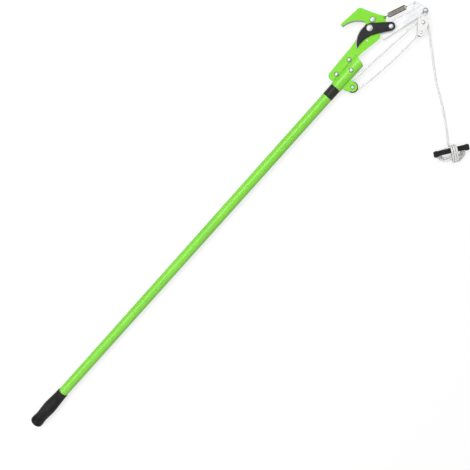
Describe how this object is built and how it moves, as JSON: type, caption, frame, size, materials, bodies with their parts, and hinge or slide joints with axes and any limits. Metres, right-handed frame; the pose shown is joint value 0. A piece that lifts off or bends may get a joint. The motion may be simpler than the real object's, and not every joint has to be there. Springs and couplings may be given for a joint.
{
  "type": "tree pruner pole",
  "caption": "Rope-pulled bypass tree pruner on a lime green pole, with hook, black blade, channel lever, return spring, rope block and pull handle",
  "frame": {"origin": "centre of the grip's flat butt face, on the axis of the pole", "axes": "+X along the pole from the butt to the cutting head, +Y to the hook side, +Z out of the front of the head, up when the tool lies flat"},
  "size_m": [1.5285, 0.4549, 0.0371],
  "materials": {
    "lime_paint": "glossy lime green paint on steel",
    "black_rubber": "smooth moulded black rubber",
    "band_black": "thin dark film, bare",
    "zinc_bright": "bright zinc plated steel",
    "blade_black": "black non-stick coating with a ground edge",
    "lever_zinc": "grey zinc plated pressed steel",
    "spring_bronze": "dark oiled spring wire",
    "dark_steel": "blackened steel",
    "cream_plastic": "off-white moulded nylon",
    "black_plastic": "satin black moulding",
    "rope_white": "white braided cord"
  },
  "bodies": {
    "pole": {"pole_tube": "lime_paint", "hand_grip": "black_rubber", "label_band": "band_black", "front_shell": "lime_paint", "rear_shell": "lime_paint", "hook_plate": "lime_paint", "flange_bolts": "zinc_bright", "flange_nuts": "zinc_bright", "pole_rivet": "zinc_bright", "stop_bolt": "zinc_bright", "stop_nut": "zinc_bright", "pivot_bolt": "zinc_bright", "pivot_washer": "zinc_bright", "pivot_nut": "zinc_bright", "ear_axle": "zinc_bright", "ear_nut": "zinc_bright", "rope_ear_turn": "rope_white", "handle_wraps": "rope_white", "rope_hank": "rope_white", "pull_handle": "black_plastic"},
    "cutter": {"blade": "blade_black", "lever": "lever_zinc", "tail_rivet": "zinc_bright", "tail_spacer": "zinc_bright", "lever_bolt": "zinc_bright", "lever_nut": "zinc_bright"},
    "block": {"block_link": "dark_steel", "block_front_cheek": "cream_plastic", "block_rear_cheek": "cream_plastic", "block_axle": "zinc_bright", "link_pin": "zinc_bright", "becket_pin": "zinc_bright", "becket_eye": "rope_white", "rope_sheave_turn": "rope_white"},
    "sheave": {"block_sheave": "cream_plastic"},
    "ear_wheel": {"ear_pulley": "black_plastic"},
    "fall": {"rope_fall": "rope_white"},
    "strand_a": {"rope_strand_a": "rope_white"},
    "strand_b": {"rope_strand_b": "rope_white"},
    "spring": {"return_spring": "spring_bronze"},
    "link": {"spring_link": "lever_zinc"}
  },
  "joints": [
    {"name": "blade_pivot", "type": "hinge", "parent": "pole", "child": "cutter", "pos_m": [1.402, 0.036, 0], "axis": [0, 0, -1], "range_deg": [0, 68], "stiffness_Nm_per_rad": 1.2, "springref_deg": -17.19, "deforming": ["return_spring", "spring_link", "rope_strand_a", "rope_strand_b", "rope_fall"]},
    {"name": "block_swing", "type": "hinge", "parent": "cutter", "child": "block", "pos_m": [1.522, -0.038, 0], "axis": [0, 0, -1], "range_deg": [-42, 1]},
    {"name": "sheave_spin", "type": "hinge", "parent": "block", "child": "sheave", "pos_m": [1.49642, -0.05368, 0], "axis": [0, 0, -1], "continuous": true},
    {"name": "ear_pulley_spin", "type": "hinge", "parent": "pole", "child": "ear_wheel", "pos_m": [1.269, -0.031, 0], "axis": [0, 0, -1], "continuous": true},
    {"name": "strand_a_swing", "type": "hinge", "parent": "pole", "child": "strand_a", "pos_m": [1.269, -0.031, 0], "axis": [0, 0, -1], "range_deg": [-1, 39]},
    {"name": "strand_b_swing", "type": "hinge", "parent": "pole", "child": "strand_b", "pos_m": [1.269, -0.031, 0], "axis": [0, 0, -1], "range_deg": [-1, 41]},
    {"name": "fall_shift", "type": "slide", "parent": "pole", "child": "fall", "axis": [-0.9405, -0.3398, 0], "range_m": [-0.001, 0.163]},
    {"name": "spring_swing", "type": "hinge", "parent": "pole", "child": "spring", "pos_m": [1.445, 0.0255, 0], "axis": [0, 0, -1], "range_deg": [-1, 87]},
    {"name": "spring_stretch", "type": "slide", "parent": "spring", "child": "link", "axis": [0.9223, -0.3864, 0], "range_m": [-0.001, 0.04]}
  ],
  "couplings": [
    {"joint": "block_swing", "follows": "blade_pivot", "ratio": -0.6029},
    {"joint": "sheave_spin", "follows": "blade_pivot", "ratio": 18.067},
    {"joint": "ear_pulley_spin", "follows": "blade_pivot", "ratio": 8.415},
    {"joint": "strand_a_swing", "follows": "blade_pivot", "ratio": 0.5562},
    {"joint": "strand_b_swing", "follows": "blade_pivot", "ratio": 0.5893},
    {"joint": "fall_shift", "follows": "blade_pivot", "m_per_rad": 0.13614},
    {"joint": "spring_swing", "follows": "blade_pivot", "ratio": 1.2591},
    {"joint": "spring_stretch", "follows": "blade_pivot", "m_per_rad": 0.03318}
  ]
}
